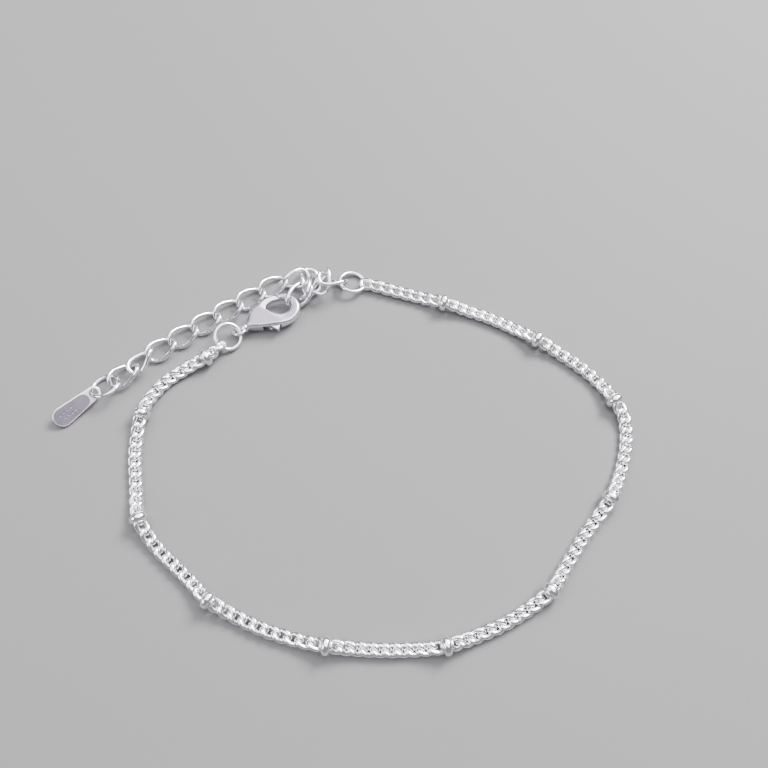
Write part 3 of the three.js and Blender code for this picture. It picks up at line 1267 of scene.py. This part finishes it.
@dataclass
class LobsterClasp:
    """The lobster clasp: a claw with a slot for its lever, a neck and an eye.

    In its own axes X runs from the neck to the nose and Y points to the gate's side.
    hinge_m is where the frame puts the lever's hinge, in metres.
    """

    hinge_m: Sequence[float]
    pose: Pose = Pose(28, 3)
    pivot: Point = (2.6, 0.35)
    thickness: float = 2.1
    nose_thickness: float = 1.2
    taper_start: float = 3.8
    taper_length: float = 3.2
    neck_start: float = 1.8
    neck_length: float = 1.7
    neck_thinning: float = 0.3
    edge_round: float = 0.42
    dome: float = 0.12
    slot_height: float = 1.1
    pin_radius: float = 0.4
    pin_length: float = 1.6
    hole_radius: float = 0.5
    hole_length: float = 2.0
    eye_place: float = -1.15
    eye_radius: float = 0.86
    eye_wire: float = 0.5
    eye_roll: float = -25.0
    lever_thickness: float = 0.9
    lever_round: float = 0.13
    gate_reach: float = 4.0
    gate_gap: float = 0.12
    mouth_outer: float = 2.75
    mouth_inner: float = 1.9
    rim_flatness: float = 0.92
    face_flatness: float = 0.984
    curve_steps: int = 8
    turned_sides: int = 40
    eye_steps: int = 72
    eye_sides: int = 18

    def on_circle(self, reach: float, y: float) -> Point:
        """Returns the point at a height y on a circle about the pivot."""
        return self.pivot[0] + math.sqrt(reach**2 - (y - self.pivot[1]) ** 2), y

    def edge(self, points: Sequence[Point]) -> np.ndarray:
        """Returns the smooth curve through an edge's points."""
        return curve_through(np.array([points[0], *points, points[-1]]), self.curve_steps)

    def claw(self) -> Shell:
        """Makes the claw, from its neck round to the tip that the gate meets.

        Returns:
            The claw.
        """
        reach = self.gate_reach + self.gate_gap
        outer = self.edge([
            (0.1, -0.42), (0.7, -0.72), (1.4, -1.04), (2.2, -1.38), (3.0, -1.68), (3.8, -1.93),
            (4.5, -2.12), (5.1, -2.25), (5.8, -2.33), (6.6, -2.27), (7.5, -1.92), (8.2, -1.3),
            (8.62, -0.5), (8.7, 0.35), (8.5, 1.15), (8.05, 1.87), (7.2, 2.5), (6.5, 2.72),
            self.on_circle(reach, self.mouth_outer),
        ])
        inner = self.edge([
            (0.1, 0.45), (0.6, 1.05), (1.2, 1.66), (2.0, 2.15), (2.9, 2.38), (3.38, 1.72),
            (3.85, 0.98), (4.4, 0.28), (5.1, -0.34), (5.8, -0.58), (6.55, -0.57), (7.08, -0.38),
            (7.38, -0.05), (7.5, 0.35), (7.44, 0.8), (7.25, 1.2), (6.95, 1.6), (6.6, 1.82),
            self.on_circle(reach, self.mouth_inner),
        ])
        middle = (outer[:, 0] + inner[:, 0]) / 2
        taper = eased(np.clip((middle - self.taper_start) / self.taper_length, 0, 1))
        half = (self.thickness + (self.nose_thickness - self.thickness) * taper) / 2
        neck = np.clip((self.neck_start - middle) / self.neck_length, 0, 1)
        half *= 1 - self.neck_thinning * neck**2
        return ribbon_solid(outer, inner, half, self.edge_round, self.dome)

    def slot(self) -> Shell:
        """Makes the solid that is cut out of the claw for the lever.

        Returns:
            The solid.
        """
        plan = np.array(
            [(2.2, -4), (5.1, -4), (5.1, 4), (2.2, 4), (1.5, 1.4), (1.4, 0.35), (1.6, -0.6), (2.2, -1.2)]
        )
        return prism(plan, -self.slot_height / 2, self.slot_height / 2)

    def neck(self) -> Shell:
        """Makes the turned neck between the claw and the eye.

        Returns:
            The neck.
        """
        half_profile = [
            (-0.75, 0.0), (-0.75, 0.2), (-0.68, 0.29), (-0.55, 0.33), (-0.48, 0.42), (-0.4, 0.56),
            (-0.28, 0.67), (-0.12, 0.72), (0.04, 0.68), (0.14, 0.58), (0.22, 0.5), (0.34, 0.46),
            (0.6, 0.47), (1.2, 0.5), (1.2, 0.0),
        ]
        return revolved(np.array(half_profile), self.turned_sides)

    def eye(self) -> Shell:
        """Makes the eye's loop of wire.

        Returns:
            The loop.
        """
        line = at_height(circle(self.eye_steps, self.eye_radius), 0.0)
        shell = swept_loop(line, self.eye_wire / 2, self.eye_sides)
        return shell.placed(Pose(roll=self.eye_roll), np.array([self.eye_place, 0, 0]))

    def pin(self, radius: float, length: float) -> Shell:
        """Returns a cylinder on the lever's axis."""
        return prism(circle(self.turned_sides, radius) + self.pivot, -length / 2, length / 2)

    def lever(self) -> Shell:
        """Makes the lever: its gate, its hub and its thumb tab.

        Returns:
            The lever.
        """
        outer = self.edge([
            self.on_circle(self.gate_reach, self.mouth_outer), (5.3, 2.85), (4.8, 2.88), (4.2, 2.83),
            (3.6, 2.62), (3.0, 2.2), (2.5, 1.65), (2.0, 1.1), (1.72, 0.45), (1.85, -0.25),
            (2.3, -0.62), (2.85, -1.05), (3.3, -1.65), (3.75, -2.3), (4.0, -2.65),
        ])
        inner = self.edge([
            self.on_circle(self.gate_reach, self.mouth_inner), (5.6, 2.07), (5.0, 2.12), (4.5, 2.05),
            (4.1, 1.85), (3.8, 1.5), (3.65, 1.1), (3.58, 0.7), (3.6, 0.25), (3.7, -0.25),
            (4.0, -0.72), (4.45, -1.2), (4.9, -1.68), (4.6, -2.2), (4.2, -2.65),
        ])
        half = np.full(len(outer), self.lever_thickness / 2)
        return ribbon_solid(outer, inner, half, self.lever_round, 0.0)

    def mark_flats(self, mesh: bpy.types.Mesh) -> None:
        """Marks where the claw lies flat, so that painted shade darkens its faces and leaves its rims
        bright.

        Args:
            mesh: the claw's mesh, in its own axes.
        """
        # Faces that point straight up or down get the painted shade.
        flatness = np.array([abs(vertex.normal.z) for vertex in mesh.vertices])
        share = (flatness - self.rim_flatness) / (self.face_flatness - self.rim_flatness)
        mark(mesh, "shaded_flat_face", "POINT", np.clip(share, 0, 1))

    def build(self) -> list[bpy.types.Object]:
        """Makes the claw and the lever.

        Returns:
            The two, dressed.
        """
        body = self.claw().to_object("lobster_claw")
        combine(body, self.slot(), Cut.REMOVE)
        for solid in (self.pin(self.pin_radius, self.pin_length), self.neck(), self.eye()):
            combine(body, solid, Cut.JOIN)
        self.mark_flats(body.data)
        gate = self.lever().to_object("lobster_lever")
        combine(gate, self.pin(self.hole_radius, self.hole_length), Cut.REMOVE)
        move = np.array(self.hinge_m) / MM - self.pose.matrix() @ np.array([*self.pivot, 0.0])
        settle(body, self.pose, move)
        settle(gate, self.pose, move)
        return [
            dressed(body, CLASP_SILVER, MAIN_BODY, "clasp_body"),
            dressed(gate, LEVER_SILVER, LEVER_BODY, "clasp_lever"),
        ]


# ---------------------------------------------------------------- the tag


@dataclass
class DropTag:
    """The drop-shaped tag at the extender's end: a sunk satin face inside a bright rim.

    In its own axes X runs from the hole, about the origin, to the wide end. The face has
    two rows of punched dots, and dot_rows holds where each row starts and how far it lies
    from the middle. dot_rings are the shares of a dot's radius and the heights over the
    face, from its bottom up, of the cone that punches it.
    """

    length: float = 7.7
    width: float = 2.9
    neck_width: float = 2.0
    thickness: float = 0.35
    edge_round: float = 0.12
    outline_step: float = 0.1
    hole_radius: float = 0.67
    hole_sides: int = 48
    rim: float = 0.2
    face_start: float = 1.85
    face_depth: float = 0.05
    dot_radius: float = 0.13
    dot_rings: tuple[Point, ...] = ((0.3, -0.08), (0.8, -0.04), (1.2, 0.02), (1.2, 0.4))
    dot_rows: tuple[Point, ...] = ((3.3, 0.34), (3.6, -0.34))
    dot_pitch: float = 0.6
    dots_in_row: int = 4
    dot_sides: int = 12
    wide_points: int = 60
    narrow_points: int = 40
    cut_height: float = 1.0
    level_slack: float = 0.005
    upward: float = 0.2
    pose: Pose = Pose(224, -3, -30)

    def outline(self, start: float = 0.0, inset: float = 0.0) -> np.ndarray:
        """Draws an outline like the tag's: two arcs joined by straight flanks.

        Args:
            start: how far from the hole's middle the narrow arc's middle lies.
            inset: how far the outline lies inside the tag's own.

        Returns:
            Its points, anticlockwise.
        """
        small, large = self.neck_width / 2, self.width / 2
        middle = self.length - small - large
        lean = math.asin((large - small) / middle)
        small += (large - small) * start / middle - inset
        large -= inset
        wide = np.linspace(-math.pi / 2 - lean, math.pi / 2 + lean, self.wide_points)
        narrow = np.linspace(math.pi / 2 + lean, 1.5 * math.pi - lean, self.narrow_points)
        ends = [
            np.stack([middle + large * np.cos(wide), large * np.sin(wide)], 1),
            np.stack([start + small * np.cos(narrow), small * np.sin(narrow)], 1),
        ]
        return softened(np.vstack(ends), self.outline_step, self.outline_step)

    def punch(self, place: Point) -> Shell:
        """Makes the small cone that punches one dot into the tag's face.

        Args:
            place: the dot's middle.

        Returns:
            The cone.
        """
        face = self.thickness / 2 - self.face_depth
        dot = circle(self.dot_sides, self.dot_radius)
        return stacked_rings([at_height(dot * share + place, face + z) for share, z in self.dot_rings])

    def mark_face(self, mesh: bpy.types.Mesh) -> None:
        """Marks the sunk satin face, so that only it takes the painted shade and the rim stays bright.

        Args:
            mesh: the tag's mesh, in its own axes.
        """
        level = (self.thickness / 2 - self.face_depth + self.level_slack) * MM
        sunk = [0.0 < face.center.z < level and face.normal.z > self.upward for face in mesh.polygons]
        mark(mesh, "satin_shaded_face", "FACE", sunk)

    def build(self) -> list[bpy.types.Object]:
        """Makes the tag.

        Returns:
            The tag, dressed.
        """
        tag = rounded_plate(self.outline(), self.thickness, self.edge_round).to_object("drop_tag")
        hole = prism(circle(self.hole_sides, self.hole_radius), -self.cut_height, self.cut_height)
        combine(tag, hole, Cut.REMOVE)
        face = self.thickness / 2 - self.face_depth
        sunk = prism(self.outline(self.face_start, self.rim), face, self.cut_height)
        combine(tag, sunk, Cut.REMOVE)
        for first, across in self.dot_rows:
            for step in range(self.dots_in_row):
                combine(tag, self.punch((first + self.dot_pitch * step, across)), Cut.REMOVE)
        self.mark_face(tag.data)
        points = np.array([vertex.co for vertex in tag.data.vertices]) / MM @ self.pose.matrix().T
        settle(tag, self.pose, node_middle("tag") - box_middle(points))
        return [dressed(tag, TAG_SATIN, MAIN_BODY, "tag")]


# ---------------------------------------------------------------- the studio


@dataclass(frozen=True)
class Softbox:
    """An area light that faces the bracelet: its place, its size and its power."""

    name: str
    place: Triple
    width: float
    height: float
    power: float
    colour: Triple = (1.0, 1.0, 1.0)


@dataclass
class Studio:
    """A plain pale floor, soft light and the camera. Places are in metres."""

    floor_colour: Triple = (0.135, 0.135, 0.14)
    floor_roughness: float = 0.8
    floor_half: float = 1.5
    world_colour: Triple = (0.94, 0.93, 1.0)
    world_strength: float = 0.35
    camera_place: Triple = (0.00563, -0.03667, 0.1025)
    camera_elevation: float = 65.8
    camera_roll: float = 1.3
    camera_lens: float = 36.09
    camera_sensor: float = 36.0
    camera_clip: Point = (0.001, 10.0)
    softboxes: tuple[Softbox, ...] = (
        Softbox("window", (0.3, 0.34, 0.4), 0.26, 0.22, 13.0, (1.0, 0.99, 0.97)),
        Softbox("overhead", (0.08, 0.2, 0.55), 1.0, 0.9, 13.5),
        Softbox("fill", (-0.42, -0.14, 0.24), 0.3, 0.22, 1.6, (0.93, 0.94, 1.0)),
    )

    def floor(self) -> None:
        """Lays the floor just under the bracelet."""
        mesh = bpy.data.meshes.new("floor")
        half = self.floor_half
        corners = [(-half, -half, 0), (half, -half, 0), (half, half, 0), (-half, half, 0)]
        mesh.from_pydata(corners, [], [(0, 1, 2, 3)])
        paint = bpy.data.materials.new("floor_paint")
        paint.use_nodes = True
        shader = paint.node_tree.nodes["Principled BSDF"]
        shader.inputs["Base Color"].default_value = (*self.floor_colour, 1.0)
        shader.inputs["Roughness"].default_value = self.floor_roughness
        mesh.materials.append(paint)
        floor = in_scene("floor", mesh)
        floor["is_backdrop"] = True

    def light(self, softbox: Softbox) -> None:
        """Hangs a softbox, unseen by the camera.

        Args:
            softbox: the light.
        """
        lamp = bpy.data.lights.new(softbox.name, "AREA")
        lamp.shape = "RECTANGLE"
        lamp.size, lamp.size_y = softbox.width, softbox.height
        lamp.energy = softbox.power
        lamp.color = softbox.colour
        item = in_scene(softbox.name, lamp)
        item.location = softbox.place
        item.rotation_euler = (-Vector(softbox.place)).to_track_quat("-Z", "Y").to_euler()
        item.visible_camera = False

    def world(self) -> None:
        """Gives the scene its even surrounding light."""
        world = bpy.data.worlds.new("studio")
        world.use_nodes = True
        background = world.node_tree.nodes["Background"]
        background.inputs["Color"].default_value = (*self.world_colour, 1.0)
        background.inputs["Strength"].default_value = self.world_strength
        bpy.context.scene.world = world

    def camera(self) -> None:
        """Sets up the camera and makes it the scene's own."""
        lens = bpy.data.cameras.new("camera")
        lens.sensor_width = self.camera_sensor
        lens.lens = self.camera_lens
        lens.clip_start, lens.clip_end = self.camera_clip
        camera = in_scene("camera", lens)
        camera.location = self.camera_place
        tilt = Matrix.Rotation(math.radians(90 - self.camera_elevation), 3, "X")
        roll = Matrix.Rotation(math.radians(self.camera_roll), 3, "Z")
        camera.rotation_euler = (tilt @ roll).to_euler()
        bpy.context.scene.camera = camera

    def build(self) -> None:
        """Sets up the whole studio."""
        self.floor()
        self.world()
        self.camera()
        for softbox in self.softboxes:
            self.light(softbox)


def main(frame: dict, frame_box: Sequence[Sequence[float]]) -> None:
    """Builds the studio and every piece of the bracelet.

    Args:
        frame: the frame, as it was loaded.
        frame_box: the frame's bounds, kept from straight after it was loaded. It is not used.
    """
    Studio().build()
    route = Route()
    hinge = next(joint for joint in frame["joints"] if joint["name"] == LEVER_HINGE)
    clasp = LobsterClasp(hinge["pos_m"])
    makers = (CurbChain(route), SaucerBeads(route), JumpRings(), Extender(), clasp, DropTag())
    pieces = [piece for maker in makers for piece in maker.build()]
    for piece in pieces:
        log.info("%s: %d faces", piece.name, len(piece.data.polygons))
    log.info("%d pieces made", len(pieces))


if __name__ == "__main__":
    logging.basicConfig(level=logging.INFO, format="%(name)s: %(message)s")
    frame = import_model()
    main(frame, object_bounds())
